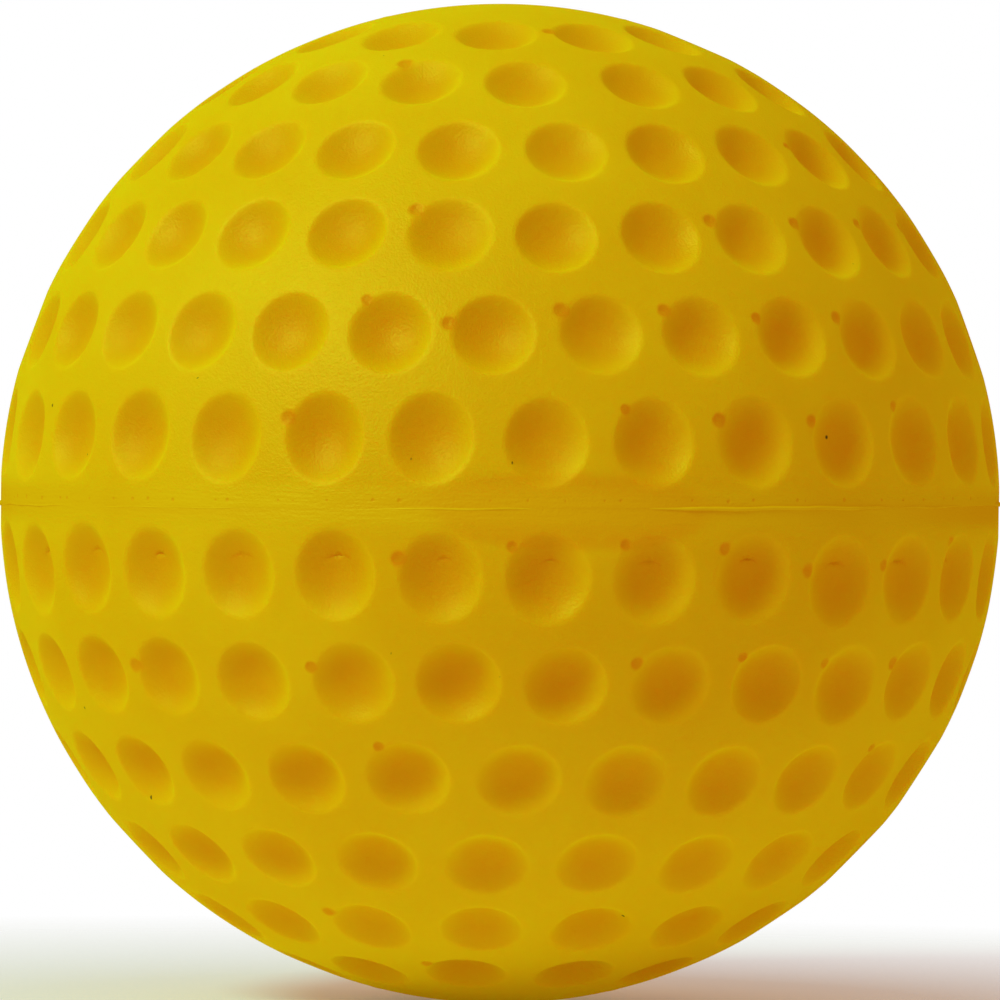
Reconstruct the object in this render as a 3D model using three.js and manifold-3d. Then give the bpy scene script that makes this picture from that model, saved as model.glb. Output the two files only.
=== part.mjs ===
// A solid dimpled practice ball: two moulded half covers, welded round a composite core.
// Millimetres. +Z runs up through the moulding pole, the weld lies in the XY plane, and the
// origin is the centre of the ball. Longitude 0 faces -Y and grows towards +X.

import * as THREE from "three";
import { ConvexGeometry } from "three/addons/geometries/ConvexGeometry.js";
import { mergeVertices } from "three/addons/utils/BufferGeometryUtils.js";
import Module from "manifold-3d";

// The ball and its wall
const BALL_DIAMETER = 73;
const COVER_WALL = 6;
const CORE_GAP = 0.35;

// The weld between the halves, and the band beside it that was buffed down with the flash
const WELD_HEIGHT = 0.6;
const FLASH_HEIGHT = 0.2;
const BUFFED_DEPTH = 0.3;
const BUFFED_HEIGHT = 1.3;

// The dimples: round bowls in rows of latitude, taller in the row next to the weld
const DIMPLE_DIAMETER = 5.8;
const DIMPLE_DEPTH = 1.05;
const WELD_ROW_STRETCH = 1.1;
const FIRST_LATITUDE = 7.6;
const LATITUDE_STEP = 12.05;

// Each row from the weld to the pole: its number of dimples and the longitude of the first one, in
// degrees. A row that doesn't close evenly has its own pitch, and a wider gap before its first dimple.
const UPPER_ROWS = [
  { count: 29, first: 4.8 },
  { count: 29, first: -0.85 },
  { count: 26, first: 6.8 },
  { count: 22, first: 9.4 },
  { count: 17, first: 28.1, pitch: 21 },
  { count: 12, first: -3.2 },
];
const LOWER_ROWS = [
  { count: 30, first: 5.5 },
  { count: 28, first: 178.5, pitch: 12.63 },
  { count: 25, first: -167.8, pitch: 14.2 },
  { count: 21, first: -1.5 },
  { count: 16, first: -3 },
  { count: 11, first: -8 },
];

// How finely the curved faces are divided
const DIMPLE_SIDES = 8;
const DIMPLE_RINGS = [0.58, 1];
const WELD_SIDES = 60;
const INNER_SIDES = 32;

const BALL_RADIUS = BALL_DIAMETER / 2;
const CAVITY_RADIUS = BALL_RADIUS - COVER_WALL;
const DIMPLE_RADIUS = DIMPLE_DIAMETER / 2;
const BOWL_RADIUS = (DIMPLE_RADIUS ** 2 + DIMPLE_DEPTH ** 2) / (2 * DIMPLE_DEPTH);
const WELD_EDGE = WELD_HEIGHT / 2;

const wasm = await Module();
wasm.setup();

function solidOf(geometry) {
  const bare = geometry.clone();
  bare.deleteAttribute("normal");
  bare.deleteAttribute("uv");
  const merged = mergeVertices(bare);
  const vertProperties = merged.attributes.position.array;
  const triVerts = new Uint32Array(merged.index.array);
  return new wasm.Manifold(new wasm.Mesh({ numProp: 3, vertProperties, triVerts }));
}

function geometryOf(solid) {
  const mesh = solid.getMesh();
  const geometry = new THREE.BufferGeometry();
  geometry.setAttribute("position", new THREE.BufferAttribute(mesh.vertProperties, 3));
  geometry.setIndex(new THREE.BufferAttribute(mesh.triVerts, 1));
  geometry.computeVertexNormals();
  return geometry;
}

function direction(latitude, longitude) {
  const elevation = THREE.MathUtils.degToRad(latitude);
  const azimuth = THREE.MathUtils.degToRad(longitude);
  const level = Math.cos(elevation);
  return new THREE.Vector3(
    level * Math.sin(azimuth),
    -level * Math.cos(azimuth),
    Math.sin(elevation),
  );
}

// One dimple: the direction of its centre, its east and north axes, and its half width and height.
function dimpleAt(latitude, longitude, stretch) {
  const centre = direction(latitude, longitude);
  const east = direction(0, longitude + 90);
  const north = new THREE.Vector3().crossVectors(centre, east);
  return { centre, east, north, halfWidth: DIMPLE_RADIUS, halfHeight: DIMPLE_RADIUS * stretch };
}

function dimplesOf(rows, side) {
  return rows.flatMap(({ count, first, pitch = 360 / count }, row) => {
    const latitude = side * (FIRST_LATITUDE + row * LATITUDE_STEP);
    const stretch = row === 0 ? WELD_ROW_STRETCH : 1;
    return Array.from({ length: count }, (_, i) =>
      dimpleAt(latitude, first + i * pitch, stretch),
    );
  });
}

// The points of one dimple, on the ball before it is sunk: its centre and its rings.
function dimplePoints({ centre, east, north, halfWidth, halfHeight }) {
  const points = [centre.clone().multiplyScalar(BALL_RADIUS)];
  for (const share of DIMPLE_RINGS) {
    for (let i = 0; i < DIMPLE_SIDES; i++) {
      const turn = (2 * Math.PI * (i + 0.5)) / DIMPLE_SIDES;
      const across = share * halfWidth * Math.cos(turn);
      const up = share * halfHeight * Math.sin(turn);
      const out = Math.sqrt(BALL_RADIUS ** 2 - across ** 2 - up ** 2);
      const point = centre.clone().multiplyScalar(out);
      points.push(point.addScaledVector(east, across).addScaledVector(north, up));
    }
  }
  return points;
}

// A ring of points on the ball at one height above or below the weld.
function ringPoints(height) {
  const latitude = THREE.MathUtils.radToDeg(Math.asin(height / BALL_RADIUS));
  return Array.from({ length: WELD_SIDES }, (_, i) => {
    const point = direction(latitude, (360 * i) / WELD_SIDES).multiplyScalar(BALL_RADIUS);
    return point.setZ(height);
  });
}

// How deep the bowl of a dimple lies under a point of the ball.
function bowlDepth(point, { centre, east, north, halfWidth, halfHeight }) {
  if (point.dot(centre) < 0) return 0;
  const share = Math.hypot(point.dot(east) / halfWidth, point.dot(north) / halfHeight);
  if (share >= 1) return 0;
  const reach = share * DIMPLE_RADIUS;
  return Math.sqrt(BOWL_RADIUS ** 2 - reach ** 2) - (BOWL_RADIUS - DIMPLE_DEPTH);
}

// Sinks the points inside a dimple, and draws in the buffed band beside the weld.
function sinkSurface(geometry, dimples) {
  const position = geometry.attributes.position;
  const point = new THREE.Vector3();
  for (let i = 0; i < position.count; i++) {
    point.fromBufferAttribute(position, i);
    const depth = Math.max(...dimples.map((dimple) => bowlDepth(point, dimple)));
    point.multiplyScalar(1 - depth / BALL_RADIUS);
    const height = Math.abs(point.z) - WELD_EDGE;
    const buffed = THREE.MathUtils.clamp(1 - height / (BUFFED_HEIGHT - WELD_EDGE), 0, 1);
    const draw = 1 - (BUFFED_DEPTH * buffed) / BALL_RADIUS;
    position.setXYZ(i, point.x * draw, point.y * draw, point.z);
  }
}

function coverGeometry(rows, side) {
  const dimples = dimplesOf(rows, side);
  const points = dimples.flatMap(dimplePoints);
  points.push(...ringPoints(side * WELD_EDGE), ...ringPoints(side * BUFFED_HEIGHT));
  points.push(direction(side * 90, 0).multiplyScalar(BALL_RADIUS));
  const outside = new ConvexGeometry(points);
  sinkSurface(outside, dimples);
  const cavity = new THREE.SphereGeometry(CAVITY_RADIUS, INNER_SIDES, INNER_SIDES / 2);
  cavity.rotateX(Math.PI / 2);
  return geometryOf(solidOf(outside).subtract(solidOf(cavity)));
}

// The ring of weld between the covers; its outer lip is what is left of the flash.
function weldGeometry() {
  const lipRoot = BALL_RADIUS - BUFFED_DEPTH;
  const profile = [
    new THREE.Vector2(CAVITY_RADIUS, -WELD_EDGE),
    new THREE.Vector2(lipRoot, -WELD_EDGE),
    new THREE.Vector2(BALL_RADIUS, -FLASH_HEIGHT / 2),
    new THREE.Vector2(BALL_RADIUS, FLASH_HEIGHT / 2),
    new THREE.Vector2(lipRoot, WELD_EDGE),
    new THREE.Vector2(CAVITY_RADIUS, WELD_EDGE),
    new THREE.Vector2(CAVITY_RADIUS, -WELD_EDGE),
  ];
  const ring = new THREE.LatheGeometry(profile, WELD_SIDES);
  ring.rotateX(Math.PI / 2);
  return geometryOf(solidOf(ring));
}

function coreGeometry() {
  const radius = CAVITY_RADIUS - CORE_GAP;
  const ball = new THREE.SphereGeometry(radius, INNER_SIDES, INNER_SIDES / 2);
  ball.rotateX(Math.PI / 2);
  return geometryOf(solidOf(ball));
}

function part(name, geometry, color, roughness) {
  const material = new THREE.MeshStandardMaterial({ color, roughness, metalness: 0 });
  const mesh = new THREE.Mesh(geometry, material);
  mesh.name = name;
  return mesh;
}

const group = new THREE.Group();
group.add(part("upper_cover", coverGeometry(UPPER_ROWS, 1), 0xd4b200, 0.42));
group.add(part("lower_cover", coverGeometry(LOWER_ROWS, -1), 0xd0a800, 0.42));
group.add(part("weld_ring", weldGeometry(), 0xdcc01e, 0.5));
group.add(part("core", coreGeometry(), 0x7d5c3c, 0.9));

export default group;
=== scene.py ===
"""A solid dimpled practice ball: two moulded half covers, the weld between them and the core."""

import math

import bpy
import numpy as np
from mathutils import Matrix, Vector
from mathutils.geometry import delaunay_2d_cdt


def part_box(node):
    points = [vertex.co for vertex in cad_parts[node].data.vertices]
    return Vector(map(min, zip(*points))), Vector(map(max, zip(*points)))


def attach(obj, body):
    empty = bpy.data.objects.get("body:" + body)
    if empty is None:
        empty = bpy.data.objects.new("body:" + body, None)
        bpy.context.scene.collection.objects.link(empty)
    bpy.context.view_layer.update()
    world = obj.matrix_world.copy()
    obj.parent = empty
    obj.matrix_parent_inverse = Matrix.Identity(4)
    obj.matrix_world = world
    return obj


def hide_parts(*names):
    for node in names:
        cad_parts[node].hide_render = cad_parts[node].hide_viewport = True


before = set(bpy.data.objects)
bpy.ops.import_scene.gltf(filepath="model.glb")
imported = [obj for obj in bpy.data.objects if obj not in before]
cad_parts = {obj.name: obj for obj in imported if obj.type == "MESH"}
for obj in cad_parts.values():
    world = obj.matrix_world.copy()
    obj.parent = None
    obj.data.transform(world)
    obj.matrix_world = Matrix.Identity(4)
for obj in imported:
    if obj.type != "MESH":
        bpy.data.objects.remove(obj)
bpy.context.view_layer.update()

MM = 0.001

# The ball, from the frame
BALL_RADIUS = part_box("upper_cover")[1].z
WELD_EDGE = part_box("weld_ring")[1].z
CORE_GAP = 0.35 * MM
CAVITY_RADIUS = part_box("core")[1].z + CORE_GAP

# Dimples, as the covers were moulded, and how much they differ: in place, in degrees, and in width,
# depth and the rounding of the rim, as shares
DIMPLE_RADIUS = 2.9 * MM
DIMPLE_DEPTH = 1.27 * MM
RIM_ROUNDING = 0.26 * MM
WELD_ROW_STRETCH = 1.1
FIRST_LATITUDE = 7.6
LATITUDE_STEP = 12.05
PLACE_SPREAD = 0.12
WIDTH_SPREAD = 0.008
DEPTH_SPREAD = 0.04
ROUNDING_RANGE = (0.7, 1.3)

# The starts of the random numbers of each cover
UPPER_SEED = 3
LOWER_SEED = 4

# Each row from the weld to the pole: number of dimples, longitude of the first, and the pitch of a
# row that doesn't close evenly. Degrees; longitude 0 faces -Y and grows towards +X.
UPPER_ROWS = [(29, 4.8), (29, -0.85), (26, 6.8), (22, 9.4), (17, 28.1, 21), (12, -3.2)]
LOWER_ROWS = [
    (30, 5.5), (28, 178.5, 12.63), (25, -167.8, 14.2), (21, -1.5), (16, -3), (11, -8),
]

# A fold in the upper part of each dimple just under the weld: how far it lies above the middle and
# to the side, half its length and height, its depth, and how much its ends drop
CREASE_RISE = 1.25 * MM
CREASE_SHIFT = 0.25 * MM
CREASE_HALF_LENGTH = 0.85 * MM
CREASE_HALF_HEIGHT = 0.13 * MM
CREASE_DEPTH = 0.13 * MM
CREASE_BEND = 1.9
CREASE_LENGTHS = (0.6, 1.2)
CREASE_DEPTHS = (0.5, 1.2)

# Trapped air: small round pits beside the dimples, most of them in one sector of the mould, between
# two longitudes, and in the rows next to the weld. Their direction from the dimple's middle is in
# degrees, and their distance from it in rim radii
PIT_RADIUS = 0.46 * MM
PIT_SECTOR = (-22, 66)
PIT_ROWS = (0, 1, 2)
PIT_CHANCE = 0.72
PIT_CHANCE_ELSEWHERE = 0.08
PIT_DIRECTIONS = (125, 168)
PIT_REACH = (1.07, 1.16)
PIT_SIZES = (0.75, 1.2)
PIT_DEPTH_SHARE = 0.3

# How much painted shade each small mark gets in its hollow, and how soft its edge is
MARK_SHADES = {"pit": 1, "seed": 0.55, "crease": 0.6}
MARK_ROUNDING = 0.02 * MM

# The line along which the covers meet. It leans a little to one side and lies a little lower than the
# band beside it, and the covers' lips close over the weld ring
PARTING_LEAN = 0.36 * MM
LIP_DEPTH = 0.5 * MM
EDGE_DROP = 0.012 * MM
RING_CLEARANCE = 0.05 * MM
RING_SIDES = 240

# The band beside the weld was buffed flat. How deep, how much that varies round the ball, how round
# its edge is, and the depth from which it counts as ground bare
BUFFED_DEPTH = 0.05 * MM
BUFFED_WAVE = 0.025 * MM
BUFFED_ROUNDING = 0.01 * MM
GROUND_DEPTH = 0.04 * MM

# Where the band was buffed deeper: the middle and half width in degrees, and the depth in mm on the
# lower and the upper cover
PATCHES = [(8, 14, 0.12, 0.07), (-140, 18, 0.04, 0.09), (125, 12, 0.07, 0.03)]

# What is left of the flash: where it starts and ends round the ball, in degrees, and how far it stands
# out, in mm. A length that stands out less than the full rise is narrower too
BEADS = [
    (16.5, 50, 0.15), (50.5, 66, 0.05), (79, 90, 0.2), (-94, -85, 0.22), (-80, -58, 0.05),
    (-52, -28, 0.03), (-13, 4, 0.05), (108, 121, 0.1), (125, 136, 0.04), (139, 172, 0.12),
    (-171, -158, 0.09), (-153, -137, 0.04), (-133, -112, 0.13),
]
BEAD_HALF_HEIGHT = 0.16 * MM
BEAD_FULL_RISE = 0.12
BEAD_ROOT = 0.05 * MM
BEAD_WANDER = 0.04 * MM
BEAD_SIDES = 12
BEAD_STEPS_PER_DEGREE = 3

# Tiny bubbles in a line just over the parting line, unevenly spaced
SEED_COUNT = 96
SEED_RADIUS = 0.11 * MM
SEED_HEIGHT = 0.56 * MM
SEED_DEPTH_SHARE = 0.35
SEED_JITTER = 0.45
SEED_SPREAD = 0.06
SEED_SIZES = (0.4, 1.4)

# How finely each part of the surface is divided. A dimple's and a small mark's rings are given as
# (share of the rim's radius, number of points)
DIMPLE_RINGS = [
    (1.15, 56), (1.08, 56), (1.02, 56), (0.96, 56), (0.89, 56),
    (0.8, 48), (0.71, 44), (0.62, 40), (0.52, 36), (0.41, 28), (0.28, 20), (0.14, 10),
]
PIT_RINGS = [(1.35, 16), (1.05, 16), (0.8, 14), (0.45, 8)]
DIMPLE_MARGIN = 0.06
PIT_MARGIN = 0.25
LAND_SPACING = 0.5 * MM
BAND_SPACING = 0.3 * MM
BAND_START = 0.3 * MM
BAND_HEIGHT = 4.4 * MM
ROW_SPACING_SHARE = 0.87
WELD_MARGIN = 0.14 * MM
WELD_HEIGHTS = [0, 0.07 * MM, 0.16 * MM, 0.27 * MM, 0.4 * MM, 0.55 * MM, 0.72 * MM, 0.92 * MM]
WELD_SIDES = 900
SHARP_ANGLE = math.radians(48)
CAVITY_SIDES = 64
CAVITY_RINGS = 16
BOWL_REACH = 1.6

# The slow waviness of the moulded surface: how many waves, how many radians each turns over one ball
# radius, about, and how deep they are together
SLOW_COUNT = 9
SLOW_TURN = 9
SLOW_DEPTH = 0.03 * MM

# A round insert in each mould left a plain cap at the pole, with a faint line round it. Degrees
CAP_ANGLE = 14
CAP_LINE_WIDTH = 0.2
CAP_LINE_HEIGHT = 0.03 * MM

# The floor: a disc that glows a little and fades out from one distance to the other
FLOOR_FADE = 0.035
FLOOR_RADIUS = 0.12
FLOOR_SIDES = 96
FLOOR_GLOW = 0.12

# The studio's light: warm all round, and a greener key light from the upper left
SKY_COLOUR = (1, 0.79, 0.7)
SKY_STRENGTH = 0.53
KEY_PLACE = (-0.54, -0.49, 0.58)
KEY_SIZE = 0.3
KEY_POWER = 4.5
KEY_COLOUR = (0.46, 0.99, 0.78)

# The colours of the plastic, its gloss and its dirt, how far light goes in it, and the sizes of its
# textures, in features per metre. Orange is painted shade in the dimples and the small hollows, and
# the real tone of the buffed band
YELLOW = (0.86, 0.48, 0.001)
PALE = (0.89, 0.55, 0.002)
ORANGE = (0.84, 0.28, 0.001)
DIRT = (0.05, 0.02, 0.004)
GLOSS_TINT = (1, 0.8, 0.05, 1)
SCATTER = (1.0, 0.3, 0.05)
SCATTER_SCALE = 0.8 * MM
CLOUD_SCALE = 60
SHEEN_SCALE = 110
GRAIN_SCALE = 5600
COARSE_SCALE = 2400
SCRATCH_SCALE = 520
SCRATCH_STRETCH = 9
SPECK_SCALE = 520.0
GRAIN_DEPTH = 0.04 * MM
SPARKLE_DEPTH = 0.065 * MM

# The camera: far off, almost level with the weld
CAMERA_REACH = 20 * BALL_RADIUS
CAMERA_ELEVATION = math.radians(0.6)
CAMERA_ROLL = math.radians(0.65)
CAMERA_RISE = 0.25 * MM
LENS = 359.5


def add_camera():
    data = bpy.data.cameras.new("camera")
    data.lens = LENS
    data.clip_start = 0.01
    camera = bpy.data.objects.new("camera", data)
    bpy.context.collection.objects.link(camera)
    level = CAMERA_REACH * math.cos(CAMERA_ELEVATION)
    camera.location = (0, -level, CAMERA_REACH * math.sin(CAMERA_ELEVATION) + CAMERA_RISE)
    aim = Vector((0, 0, CAMERA_RISE)) - camera.location
    turn = aim.to_track_quat("-Z", "Y").to_matrix().to_4x4()
    camera.rotation_euler = turn.to_euler()
    camera.rotation_euler.rotate_axis("Z", CAMERA_ROLL)
    bpy.context.scene.camera = camera


add_camera()


# ---------------------------------------------------------------- the layout of the surface

def directions(latitude, longitude):
    """Unit vectors, for arrays of degrees."""
    latitude = np.radians(latitude)
    longitude = np.radians(longitude)
    level = np.cos(latitude)
    return np.stack(
        [level * np.sin(longitude), -level * np.cos(longitude), np.sin(latitude)], axis=-1
    )


class Bowl:
    """A hollow in the ball, with the axes of its rim and a spherical floor. It may be bent."""

    def __init__(self, centre, width, height, depth, name, rounding=MARK_ROUNDING):
        self.centre = centre
        self.east = np.array([-centre[1], centre[0], 0]) / math.hypot(centre[0], centre[1])
        self.north = np.cross(centre, self.east)
        self.width = width
        self.height = height
        self.depth = depth
        self.rounding = rounding
        self.name = name
        self.bend = 0

    def share(self, unit):
        """How far each direction is from the centre, as a share of the rim's radius."""
        across = unit @ self.east * BALL_RADIUS / self.width
        up = unit @ self.north * BALL_RADIUS / self.height + self.bend * across**2
        share = np.hypot(across, up)
        return np.where(unit @ self.centre > 0, share, 99)

    def level(self, share):
        """The floor's height over the ball's surface: negative inside the rim, rising beyond it."""
        reach = np.minimum(share, 1.5) * self.width
        curve = (self.width**2 + self.depth**2) / (2 * self.depth)
        sunk = np.sqrt(np.maximum(curve**2 - reach**2, 0)) - (curve - self.depth)
        return -sunk

    def points(self, rings):
        """Unit vectors of the centre and of each ring."""
        made = [self.centre[None, :]]
        for share, sides in rings:
            turn = (np.arange(sides) + 0.5 * (sides % 4 == 0)) * 2 * math.pi / sides
            across = share * np.cos(turn)
            up = (share * np.sin(turn) - self.bend * across**2) * self.height / BALL_RADIUS
            across = across * self.width / BALL_RADIUS
            out = np.sqrt(1 - across**2 - up**2)
            ring = out[:, None] * self.centre + across[:, None] * self.east + up[:, None] * self.north
            made.append(ring)
        return np.concatenate(made)


def dimples_of(rows, side, random):
    """The dimples of one cover, each a little off its exact place, size and depth."""
    made = []
    for row, (count, first, *pitch) in enumerate(rows):
        step = pitch[0] if pitch else 360 / count
        latitude = side * (FIRST_LATITUDE + row * LATITUDE_STEP)
        stretch = WELD_ROW_STRETCH if row == 0 else 1
        for i in range(count):
            off = random.normal(0, PLACE_SPREAD, 2)
            longitude = first + i * step + off[0] / math.cos(math.radians(latitude))
            width = DIMPLE_RADIUS * random.normal(1, WIDTH_SPREAD)
            depth = DIMPLE_DEPTH * random.normal(1, DEPTH_SPREAD)
            rounding = RIM_ROUNDING * random.uniform(*ROUNDING_RANGE)
            centre = directions(latitude + off[1], longitude)
            bowl = Bowl(centre, width, width * stretch, depth, "dimple", rounding)
            bowl.row = row
            bowl.longitude = (longitude + 180) % 360 - 180
            made.append(bowl)
    return made


def creases_of(dimples, random):
    """A short curved fold near the top of each dimple next to the weld."""
    made = []
    for dimple in dimples:
        if dimple.row > 0:
            continue
        shift = CREASE_RISE * dimple.north + random.normal(0, CREASE_SHIFT) * dimple.east
        centre = dimple.centre + shift / BALL_RADIUS
        centre = centre / np.linalg.norm(centre)
        length = CREASE_HALF_LENGTH * random.uniform(*CREASE_LENGTHS)
        depth = CREASE_DEPTH * random.uniform(*CREASE_DEPTHS)
        crease = Bowl(centre, length, CREASE_HALF_HEIGHT, depth, "crease")
        crease.bend = CREASE_BEND
        made.append(crease)
    return made


def seeds_of(random):
    """Tiny bubbles on the upper cover, in a line just over the parting line."""
    made = []
    for k in range(SEED_COUNT):
        longitude = (k + random.uniform(-SEED_JITTER, SEED_JITTER)) * 360 / SEED_COUNT
        height = parting_height(longitude) + SEED_HEIGHT * random.normal(1, SEED_SPREAD)
        size = SEED_RADIUS * random.uniform(*SEED_SIZES)
        centre = directions(math.degrees(math.asin(height / BALL_RADIUS)), longitude)
        made.append(Bowl(centre, size, size, SEED_DEPTH_SHARE * size, "seed"))
    return made


def pits_of(dimples, random):
    """Pits of trapped air, each at the upper left of a dimple's rim."""
    made = []
    for dimple in dimples:
        inside = PIT_SECTOR[0] < dimple.longitude < PIT_SECTOR[1]
        chance = PIT_CHANCE if inside and dimple.row in PIT_ROWS else PIT_CHANCE_ELSEWHERE
        turn = math.radians(random.uniform(*PIT_DIRECTIONS))
        reach = random.uniform(*PIT_REACH) * dimple.width / BALL_RADIUS
        size = PIT_RADIUS * random.uniform(*PIT_SIZES)
        if random.random() > chance:
            continue
        offset = math.cos(turn) * dimple.east + math.sin(turn) * dimple.north
        centre = dimple.centre + reach * offset
        centre = centre / np.linalg.norm(centre)
        made.append(Bowl(centre, size, size, PIT_DEPTH_SHARE * size, "pit"))
    return made


def rows_between(low, high, spacing):
    """Unit vectors of staggered rows of points between two heights."""
    low_angle = math.degrees(math.asin(low / BALL_RADIUS))
    high_angle = math.degrees(math.asin(min(high / BALL_RADIUS, 1)))
    step = math.degrees(spacing / BALL_RADIUS) * ROW_SPACING_SHARE
    made = []
    for k, latitude in enumerate(np.arange(low_angle, high_angle, step)):
        around = 2 * math.pi * BALL_RADIUS * math.cos(math.radians(latitude))
        count = max(5, round(around / spacing))
        longitude = (np.arange(count) + 0.5 * (k % 2)) * 360 / count
        made.append(directions(np.full(count, latitude), longitude))
    return np.concatenate(made)


def clear_of(points, bowls, margin):
    """The points outside every bowl's rim times the margin."""
    keep = np.ones(len(points), bool)
    for bowl in bowls:
        reach = 2.5 * max(bowl.width, bowl.height) / BALL_RADIUS
        near = points @ bowl.centre > math.cos(reach)
        keep[near] &= bowl.share(points[near]) > margin
    return points[keep]


def over_parting(unit, side):
    """How far each direction lies from the parting line, on its own cover's side."""
    longitude = np.degrees(np.arctan2(unit[:, 0], -unit[:, 1]))
    return side * (unit[:, 2] * BALL_RADIUS - parting_height(longitude))


def surface_points(dimples, pits, side):
    """Unit vectors of one cover's outer surface; the ring at the weld comes first."""
    longitude = np.arange(WELD_SIDES) * 360 / WELD_SIDES
    weld = []
    for height in WELD_HEIGHTS:
        angle = np.degrees(np.arcsin((parting_height(longitude) + side * height) / BALL_RADIUS))
        weld.append(directions(angle, longitude))
    beside = clear_of(np.concatenate(weld[1:]), pits, PIT_RINGS[0][0] + PIT_MARGIN)
    band = rows_between(BAND_START, BAND_HEIGHT, BAND_SPACING)
    land = rows_between(BAND_HEIGHT, BALL_RADIUS, LAND_SPACING)
    open_land = np.concatenate([band, land]) * (1, 1, side)
    open_land = clear_of(open_land, dimples, DIMPLE_RINGS[0][0] + DIMPLE_MARGIN)
    bowls = np.concatenate([dimple.points(DIMPLE_RINGS) for dimple in dimples])
    free = clear_of(np.concatenate([open_land, bowls]), pits, PIT_RINGS[0][0] + PIT_MARGIN)
    free = free[over_parting(free, side) > WELD_HEIGHTS[-1] + WELD_MARGIN]
    own = [pit.points(PIT_RINGS) for pit in pits]
    return np.concatenate([weld[0], beside, free, *own])


# ---------------------------------------------------------------- the relief of the surface

def waves(longitude, table):
    """A smooth closed curve over longitude in degrees: the sum of (waves round the ball, phase)."""
    turn = np.radians(longitude)
    return sum(np.sin(count * turn + phase) for count, phase in table) / len(table)


def parting_height(longitude):
    """How high the covers meet, round the ball."""
    return PARTING_LEAN * np.sin(np.radians(longitude))


def trim_radius(longitude, side):
    """The level radius to which the band beside the weld was buffed."""
    wave = waves(longitude, [(2, 1.3 * side), (3, 2.0 - side), (7, 0.5 + side)])
    depth = BUFFED_DEPTH + BUFFED_WAVE * wave
    for middle, half, lower, upper in PATCHES:
        away = (longitude - middle + 180) % 360 - 180
        deeper = lower if side < 0 else upper
        depth = depth + deeper * MM * np.exp(-((away / half) ** 4))
    return BALL_RADIUS - depth


def smooth_minimum(a, b, width):
    blend = np.clip(1 - np.abs(a - b) / width, 0, 1)
    return np.minimum(a, b) - blend**2 * width / 4


SLOW_WAVES = np.random.default_rng(11).normal(0, 1, (SLOW_COUNT, 3)) * SLOW_TURN
SLOW_PHASES = np.random.default_rng(12).uniform(0, 6.28, SLOW_COUNT)


def unevenness(unit):
    """The slow waviness of a moulded surface, from 0 to 1."""
    return 0.5 + 0.5 * np.sin(unit @ SLOW_WAVES.T + SLOW_PHASES).mean(axis=1)


def relief(unit, dimples, pits, side):
    """The ball's radius along each direction, how far in a dimple, the painted shade in a pit, seed or
    crease, and how buffed it is.
    """
    longitude = np.degrees(np.arctan2(unit[:, 0], -unit[:, 1]))
    level = np.hypot(unit[:, 0], unit[:, 1])
    buffed = trim_radius(longitude, side) / np.maximum(level, 0.5)
    land = smooth_minimum(np.full(len(unit), BALL_RADIUS), buffed, BUFFED_ROUNDING)
    radius = land - SLOW_DEPTH * unevenness(unit)
    in_dimple = np.zeros(len(unit))
    hollow_shade = np.zeros(len(unit))
    cap = np.degrees(np.arccos(np.clip(unit[:, 2] * side, -1, 1)))
    radius += CAP_LINE_HEIGHT * np.exp(-(((cap - CAP_ANGLE) / CAP_LINE_WIDTH) ** 2))
    for bowl in [*dimples, *pits]:
        reach = BOWL_REACH * max(bowl.width, bowl.height) / BALL_RADIUS
        near = np.flatnonzero(unit @ bowl.centre > math.cos(reach))
        share = bowl.share(unit[near])
        floor = BALL_RADIUS + bowl.level(share)
        if bowl.name == "dimple":
            radius[near] = smooth_minimum(radius[near], floor, bowl.rounding)
            in_dimple[near] = np.maximum(in_dimple[near], np.clip(1 - share**2, 0, 1))
        else:
            sunk = radius[near] + bowl.level(share)
            radius[near] = smooth_minimum(radius[near], sunk, bowl.rounding)
            # Painted shade: each pit, seed and crease is tinted orange in its hollow, for the shade
            # inside it
            mark_shade = MARK_SHADES[bowl.name] * np.clip((1.25 - share) * 2.5, 0, 1)
            hollow_shade[near] = np.maximum(hollow_shade[near], mark_shade)
    ground = np.clip((BALL_RADIUS - buffed) / GROUND_DEPTH - 1, 0, 1)
    return radius, in_dimple, hollow_shade, ground


# ---------------------------------------------------------------- meshes

def stitch(lower, upper):
    """Triangles between two closed rings of vertex numbers, both starting at longitude 0."""
    faces = []
    i = j = 0
    a, b = len(lower), len(upper)
    while i < a or j < b:
        if j >= b or (i < a and (i + 1) / a <= (j + 1) / b):
            faces.append((lower[i % a], lower[(i + 1) % a], upper[j % b]))
            i += 1
        else:
            faces.append((lower[i % a], upper[(j + 1) % b], upper[j % b]))
            j += 1
    return faces


def object_of(name, vertices, faces, **values):
    """A smooth-shaded mesh object facing out, with a number at each vertex for each named value."""
    mesh = bpy.data.meshes.new(name)
    mesh.from_pydata(vertices.tolist(), [], faces)
    corners = vertices[np.array(faces)]
    volume = np.einsum("ij,ij->i", corners[:, 0], np.cross(corners[:, 1], corners[:, 2])).sum()
    if volume < 0:
        mesh.flip_normals()
    for key, numbers in values.items():
        layer = mesh.attributes.new(key, "FLOAT", "POINT")
        layer.data.foreach_set("value", np.asarray(numbers, np.float32))
    mesh.shade_smooth()
    mesh.set_sharp_from_angle(angle=SHARP_ANGLE)
    mesh.update()
    made = bpy.data.objects.new(name, mesh)
    bpy.context.collection.objects.link(made)
    return made


def triangulate(unit, side):
    """Triangles between directions on one half of the ball: flat ones, seen from the far pole."""
    flat = unit[:, :2] / (1 + side * unit[:, 2:])
    result = delaunay_2d_cdt([Vector(p) for p in flat.tolist()], [], [], 0, 1e-7)
    origin = [ids[0] for ids in result[3]]
    faces = [tuple(origin[v] for v in face) for face in result[2]]
    if side < 0:
        faces = [face[::-1] for face in faces]
    return faces


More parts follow.
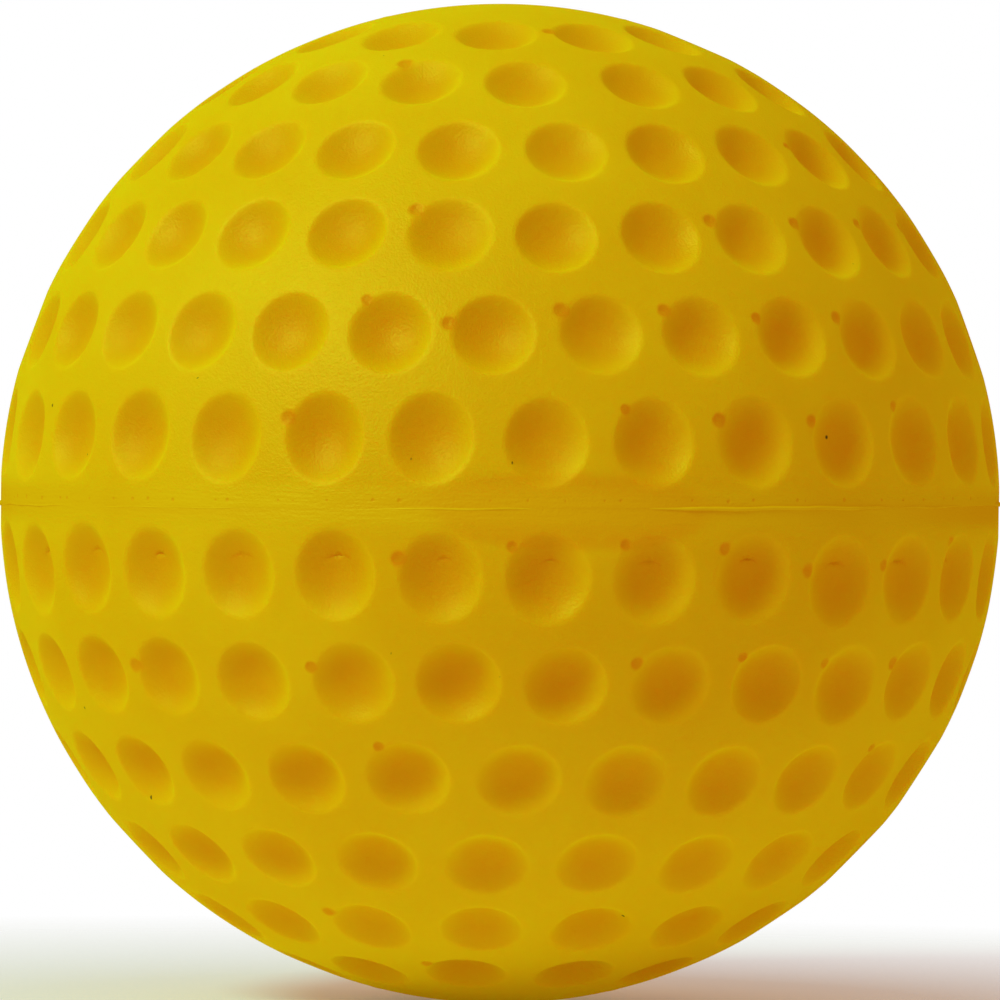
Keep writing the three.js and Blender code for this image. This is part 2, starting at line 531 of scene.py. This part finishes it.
def cavity_rings(side):
    """The hollow side of a cover: rings from the weld to its pole, and the pole itself."""
    lowest = math.asin(WELD_EDGE / CAVITY_RADIUS)
    steps = np.linspace(lowest, math.pi / 2, CAVITY_RINGS + 1)[:-1]
    longitude = np.arange(CAVITY_SIDES) * 360 / CAVITY_SIDES
    rings = []
    for step in steps:
        latitude = np.full(CAVITY_SIDES, side * math.degrees(step))
        rings.append(CAVITY_RADIUS * directions(latitude, longitude))
    return rings, np.array([[0, 0, side * CAVITY_RADIUS]])


def level_ring(radius, height, sides):
    """A ring of points round the axis; radius and height may change round it."""
    turn = np.arange(sides) * 2 * math.pi / sides
    height = np.broadcast_to(height, sides)
    return np.stack([radius * np.sin(turn), -radius * np.cos(turn), height], axis=-1)


def edge_radius():
    """The level radius at which the covers meet: where both were buffed."""
    longitude = np.arange(WELD_SIDES) * 360 / WELD_SIDES
    return np.minimum(trim_radius(longitude, 1), trim_radius(longitude, -1)) - EDGE_DROP


def make_cover(name, rows, side, seed):
    """One half cover, as a closed body: the outer skin, the lip at the weld and the hollow side."""
    random = np.random.default_rng(seed)
    dimples = dimples_of(rows, side, random)
    pits = pits_of(dimples, random)
    if side > 0:
        pits += seeds_of(random)
    else:
        pits += creases_of(dimples, random)
    unit = surface_points(dimples, pits, side)
    faces = triangulate(unit, side)
    radius, in_dimple, hollow_shade, ground = relief(unit, dimples, pits, side)
    outer = unit * radius[:, None]
    parting = parting_height(np.arange(WELD_SIDES) * 360 / WELD_SIDES)
    outer[:WELD_SIDES] = level_ring(edge_radius(), parting, WELD_SIDES)
    lip = level_ring(edge_radius() - LIP_DEPTH, parting, WELD_SIDES)
    step = level_ring(edge_radius() - LIP_DEPTH, side * WELD_EDGE, WELD_SIDES)
    rings, pole = cavity_rings(side)
    rings = [lip, step, *rings]
    vertices = np.concatenate([outer, *rings, pole])
    previous = list(range(WELD_SIDES))
    start = len(outer)
    inside = []
    for ring in rings:
        current = list(range(start, start + len(ring)))
        inside += stitch(previous, current)
        previous = current
        start += len(ring)
    inside += [(previous[i], previous[(i + 1) % CAVITY_SIDES], start) for i in range(CAVITY_SIDES)]
    faces += [face[::-1] for face in inside] if side > 0 else inside
    extra = np.zeros(len(vertices) - len(outer))
    return object_of(
        name, vertices, faces,
        # dimple and pit carry painted shade: the material tints the dimples' bowls and the small hollows
        # orange
        dimple=np.concatenate([in_dimple, extra]),
        pit=np.concatenate([hollow_shade, extra]),
        ground=np.concatenate([ground, extra]),
    )


def loft(rings, closed):
    """The skin between rings of equal length, as (vertices, triangles), with flat ends unless closed."""
    count, sides = len(rings), len(rings[0])
    faces = []
    for k in range(count if closed else count - 1):
        for i in range(sides):
            here, there = k * sides, (k + 1) % count * sides
            n = (i + 1) % sides
            faces.append((here + i, here + n, there + n))
            faces.append((here + i, there + n, there + i))
    if not closed:
        last = (count - 1) * sides
        faces += [(0, i + 1, i) for i in range(1, sides - 1)]
        faces += [(last, last + i, last + i + 1) for i in range(1, sides - 1)]
    return np.concatenate(rings), faces


def bead_rings(first, last, height):
    """Sections of one length of flash, tapered to its ends, with an uneven crest."""
    steps = int(abs(last - first) * BEAD_STEPS_PER_DEGREE)
    around = np.arange(BEAD_SIDES) * 2 * math.pi / BEAD_SIDES
    meet = edge_radius()
    rings = []
    for longitude in np.linspace(first, last, steps + 1):
        share = (longitude - first) / (last - first)
        taper = min(1, 5 * share, 5 * (1 - share)) ** 0.7 + 0.02
        rough = 1 + 0.3 * waves(longitude, [(31, 0.4), (67, 1.9), (113, 3.0)])
        rise = height * MM * taper * rough
        fullness = 0.3 + 0.7 * taper * min(1, height / BEAD_FULL_RISE)
        half = BEAD_HALF_HEIGHT * fullness * (0.8 + 0.2 * rough)
        turn = math.radians(longitude)
        base = meet[round(longitude / 360 * WELD_SIDES) % WELD_SIDES]
        level = base - BEAD_ROOT + (rise + BEAD_ROOT) * np.clip(np.cos(around), -0.4, 1)
        middle = parting_height(longitude) + BEAD_WANDER * waves(longitude, [(23, 0.2), (47, 1.0)])
        high = middle + half * np.sin(around)
        rings.append(np.stack([level * math.sin(turn), -level * math.cos(turn), high], axis=-1))
    return rings


def make_weld():
    """The weld ring under the covers' lips, and the lengths of flash that stand out along the seam."""
    outside = edge_radius().min() - LIP_DEPTH - RING_CLEARANCE
    inside = CAVITY_RADIUS
    corners = [(inside, -1), (outside, -1), (outside, 1), (inside, 1)]
    ring = [level_ring(radius, edge * WELD_EDGE, RING_SIDES) for radius, edge in corners]
    bodies = [loft(ring, True)]
    bodies += [loft(bead_rings(*bead), False) for bead in BEADS]
    vertices, faces = [], []
    start = 0
    for points, triangles in bodies:
        a, b, c = (points[corner] for corner in np.array(triangles).T)
        volume = (a * np.cross(b, c)).sum()
        turned = [t[::-1] for t in triangles] if volume < 0 else triangles
        faces += [tuple(v + start for v in t) for t in turned]
        vertices.append(points)
        start += len(points)
    return object_of("weld_bead", np.concatenate(vertices), faces)


# ---------------------------------------------------------------- materials

def material(name, roughness):
    made = bpy.data.materials.new(name)
    made.use_nodes = True
    tree = made.node_tree
    shader = tree.nodes["Principled BSDF"]
    shader.inputs["Roughness"].default_value = roughness
    return made, tree, shader


def add_node(tree, kind, **settings):
    made = tree.nodes.new(kind)
    for key, value in settings.items():
        if key in made.inputs:
            made.inputs[key].default_value = value
        else:
            setattr(made, key, value)
    return made


def noise(tree, place, scale, detail=3.0, roughness=0.55):
    made = tree.nodes.new("ShaderNodeTexNoise")
    made.inputs["Scale"].default_value = scale
    made.inputs["Detail"].default_value = detail
    made.inputs["Roughness"].default_value = roughness
    tree.links.new(place, made.inputs["Vector"])
    return made.outputs["Fac"]


def spread(tree, value, low, high, out_low=0.0, out_high=1.0):
    """A value mapped from one range to another, and held inside it."""
    made = tree.nodes.new("ShaderNodeMapRange")
    made.inputs["From Min"].default_value = low
    made.inputs["From Max"].default_value = high
    made.inputs["To Min"].default_value = out_low
    made.inputs["To Max"].default_value = out_high
    tree.links.new(value, made.inputs["Value"])
    return made.outputs["Result"]


def mix_colour(tree, factor, first, second):
    made = tree.nodes.new("ShaderNodeMix")
    made.data_type = "RGBA"
    for socket, value in ((made.inputs[6], first), (made.inputs[7], second)):
        if isinstance(value, tuple):
            socket.default_value = (*value, 1)
        else:
            tree.links.new(value, socket)
    if isinstance(factor, float):
        made.inputs[0].default_value = factor
    else:
        tree.links.new(factor, made.inputs[0])
    return made.outputs[2]


def attribute(tree, name):
    made = tree.nodes.new("ShaderNodeAttribute")
    made.attribute_name = name
    return made.outputs["Fac"]


def join(tree, operation, first, second):
    made = tree.nodes.new("ShaderNodeMath")
    made.operation = operation
    for socket, value in zip(made.inputs, (first, second)):
        if isinstance(value, (int, float)):
            socket.default_value = value
        else:
            tree.links.new(value, socket)
    return made.outputs[0]


def polymer(shader):
    """Translucent polyurethane: its own gloss is left out, as glazed() adds a tinted one."""
    shader.inputs["Specular IOR Level"].default_value = 0
    shader.inputs["Subsurface Radius"].default_value = SCATTER
    shader.inputs["Subsurface Scale"].default_value = SCATTER_SCALE


def glazed(tree, shader, roughness, normal, share):
    """Adds a soft gloss in the polymer's own colour."""
    gloss = add_node(tree, "ShaderNodeBsdfGlossy")
    gloss.inputs["Color"].default_value = GLOSS_TINT
    if isinstance(roughness, float):
        gloss.inputs["Roughness"].default_value = roughness
    else:
        tree.links.new(roughness, gloss.inputs["Roughness"])
    tree.links.new(normal, gloss.inputs["Normal"])
    both = add_node(tree, "ShaderNodeMixShader", Fac=share)
    tree.links.new(shader.outputs[0], both.inputs[1])
    tree.links.new(gloss.outputs[0], both.inputs[2])
    tree.links.new(both.outputs[0], tree.nodes["Material Output"].inputs["Surface"])


def near_weld(tree, place, low, high):
    """0 at the height low beside the parting plane and 1 from the height high."""
    parts = add_node(tree, "ShaderNodeSeparateXYZ")
    tree.links.new(place, parts.inputs[0])
    height = join(tree, "ABSOLUTE", parts.outputs["Z"], 0)
    return spread(tree, height, low, high)


def cover_material():
    made, tree, shader = material("yellow_polyurethane", 0.6)
    place = add_node(tree, "ShaderNodeTexCoord").outputs["Object"]
    dimple = attribute(tree, "dimple")
    ground = attribute(tree, "ground")
    cloudy = spread(tree, noise(tree, place, CLOUD_SCALE), 0.35, 0.7)
    colour = mix_colour(tree, cloudy, YELLOW, PALE)
    # Painted shade: the dimples' bowls are tinted orange, most at their middles, for the shade inside
    # them
    colour = mix_colour(tree, spread(tree, dimple, 0, 0.8, 0, 0.52), colour, ORANGE)
    colour = mix_colour(tree, spread(tree, ground, 0, 1, 0, 0.35), colour, ORANGE)
    # Painted shade: the pit attribute tints pits, seeds and creases orange in their hollows
    colour = mix_colour(tree, spread(tree, attribute(tree, "pit"), 0, 1, 0, 0.7), colour, ORANGE)
    specks = add_node(tree, "ShaderNodeTexVoronoi", Scale=SPECK_SCALE)
    tree.links.new(place, specks.inputs["Vector"])
    rare = spread(tree, noise(tree, place, 900, 0.0), 0.74, 0.76)
    dots = join(tree, "MULTIPLY", spread(tree, specks.outputs["Distance"], 0.1, 0.06), rare)
    colour = mix_colour(tree, dots, colour, DIRT)
    tree.links.new(colour, shader.inputs["Base Color"])
    polymer(shader)
    tree.links.new(near_weld(tree, place, 0.7 * MM, 2 * MM), shader.inputs["Subsurface Weight"])
    coarse = join(tree, "MULTIPLY", noise(tree, place, COARSE_SCALE, 2), 0.35)
    sandy = join(tree, "ADD", noise(tree, place, GRAIN_SCALE, 2), coarse)
    stretched = add_node(tree, "ShaderNodeMapping")
    stretched.inputs["Scale"].default_value = (1, 1, SCRATCH_STRETCH)
    tree.links.new(place, stretched.inputs["Vector"])
    scratched = noise(tree, stretched.outputs["Vector"], SCRATCH_SCALE, 4)
    by_weld = spread(tree, near_weld(tree, place, 1.0 * MM, 1.6 * MM), 0, 1, 1.1, 0)
    grain = join(tree, "ADD", sandy, join(tree, "MULTIPLY", scratched, by_weld))
    bump = add_node(tree, "ShaderNodeBump", Strength=0.9, Distance=GRAIN_DEPTH)
    tree.links.new(grain, bump.inputs["Height"])
    tree.links.new(bump.outputs["Normal"], shader.inputs["Normal"])
    sheen = spread(tree, noise(tree, place, SHEEN_SCALE, 4), 0.3, 0.75, 0.38, 0.56)
    sparkle = add_node(tree, "ShaderNodeBump", Strength=1.0, Distance=SPARKLE_DEPTH)
    tree.links.new(grain, sparkle.inputs["Height"])
    glazed(tree, shader, sheen, sparkle.outputs["Normal"], 0.065)
    return made


def weld_material():
    made, tree, shader = material("yellow_weld", 0.6)
    place = add_node(tree, "ShaderNodeTexCoord").outputs["Object"]
    colour = mix_colour(tree, spread(tree, noise(tree, place, 400), 0.3, 0.7), YELLOW, PALE)
    tree.links.new(colour, shader.inputs["Base Color"])
    polymer(shader)
    bump = add_node(tree, "ShaderNodeBump", Strength=0.5, Distance=0.03 * MM)
    tree.links.new(noise(tree, place, 3000, 3), bump.inputs["Height"])
    tree.links.new(bump.outputs["Normal"], shader.inputs["Normal"])
    glazed(tree, shader, 0.35, bump.outputs["Normal"], 0.08)
    return made


def core_material():
    made, tree, shader = material("cork_and_rubber", 0.9)
    place = add_node(tree, "ShaderNodeTexCoord").outputs["Object"]
    granules = add_node(tree, "ShaderNodeTexVoronoi", Scale=620.0)
    tree.links.new(place, granules.inputs["Vector"])
    pick = spread(tree, granules.outputs["Color"], 0.35, 0.65)
    colour = mix_colour(tree, pick, (0.24, 0.12, 0.05), (0.06, 0.035, 0.02))
    tree.links.new(colour, shader.inputs["Base Color"])
    bump = add_node(tree, "ShaderNodeBump", Strength=0.8, Distance=0.3 * MM)
    tree.links.new(granules.outputs["Distance"], bump.inputs["Height"])
    tree.links.new(bump.outputs["Normal"], shader.inputs["Normal"])
    return made


def floor_material():
    """A pale matte floor that glows a little, as on a light table, and fades out towards its rim."""
    made, tree, shader = material("pale_floor", 0.9)
    place = add_node(tree, "ShaderNodeTexCoord").outputs["Object"]
    tone = spread(tree, noise(tree, place, 3), 0.3, 0.7)
    colour = mix_colour(tree, tone, (0.86, 0.86, 0.86), (0.89, 0.89, 0.89))
    tree.links.new(colour, shader.inputs["Base Color"])
    shader.inputs["Specular IOR Level"].default_value = 0
    shader.inputs["Emission Color"].default_value = (1, 1, 1, 1)
    shader.inputs["Emission Strength"].default_value = FLOOR_GLOW
    distance = add_node(tree, "ShaderNodeVectorMath", operation="LENGTH")
    tree.links.new(place, distance.inputs[0])
    solid = spread(tree, distance.outputs["Value"], FLOOR_FADE, FLOOR_RADIUS, 1, 0)
    tree.links.new(solid, shader.inputs["Alpha"])
    return made


# ---------------------------------------------------------------- the pieces

def place_piece(piece, finish, node):
    piece.data.materials.append(finish)
    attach(piece, "root")
    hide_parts(node)


cover_finish = cover_material()
upper = make_cover("upper_dimpled_cover", UPPER_ROWS, 1, UPPER_SEED)
lower = make_cover("lower_dimpled_cover", LOWER_ROWS, -1, LOWER_SEED)
place_piece(upper, cover_finish, "upper_cover")
place_piece(lower, cover_finish, "lower_cover")
place_piece(make_weld(), weld_material(), "weld_ring")
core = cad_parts["core"]
core.data.materials.clear()
core.data.materials.append(core_material())


# ---------------------------------------------------------------- the studio

def add_floor():
    turn = np.arange(FLOOR_SIDES) * 2 * math.pi / FLOOR_SIDES
    level = np.zeros(FLOOR_SIDES)
    rim = np.stack([FLOOR_RADIUS * np.cos(turn), FLOOR_RADIUS * np.sin(turn), level], axis=-1)
    mesh = bpy.data.meshes.new("floor")
    mesh.from_pydata(rim.tolist(), [], [tuple(range(FLOOR_SIDES))])
    floor = bpy.data.objects.new("floor", mesh)
    floor.location.z = -BALL_RADIUS
    bpy.context.collection.objects.link(floor)
    floor.data.materials.append(floor_material())


def add_light(name, place, size, power, colour):
    data = bpy.data.lights.new(name, "AREA")
    data.shape = "DISK"
    data.size = size
    data.energy = power
    data.color = colour
    light = bpy.data.objects.new(name, data)
    bpy.context.collection.objects.link(light)
    light.location = place
    light.rotation_euler = (-Vector(place)).to_track_quat("-Z", "Y").to_euler()


def add_world():
    world = bpy.data.worlds.new("studio")
    world.use_nodes = True
    tree = world.node_tree
    background = tree.nodes["Background"]
    background.inputs["Color"].default_value = (*SKY_COLOUR, 1)
    background.inputs["Strength"].default_value = SKY_STRENGTH
    backdrop = tree.nodes.new("ShaderNodeBackground")
    backdrop.inputs["Color"].default_value = (1, 1, 1, 1)
    choose = tree.nodes.new("ShaderNodeMixShader")
    path = tree.nodes.new("ShaderNodeLightPath")
    tree.links.new(path.outputs["Is Camera Ray"], choose.inputs["Fac"])
    tree.links.new(background.outputs[0], choose.inputs[1])
    tree.links.new(backdrop.outputs[0], choose.inputs[2])
    tree.links.new(choose.outputs[0], tree.nodes["World Output"].inputs["Surface"])
    bpy.context.scene.world = world


add_floor()
add_light("key", KEY_PLACE, KEY_SIZE, KEY_POWER, KEY_COLOUR)
add_world()
bpy.context.scene.view_settings.view_transform = "Standard"
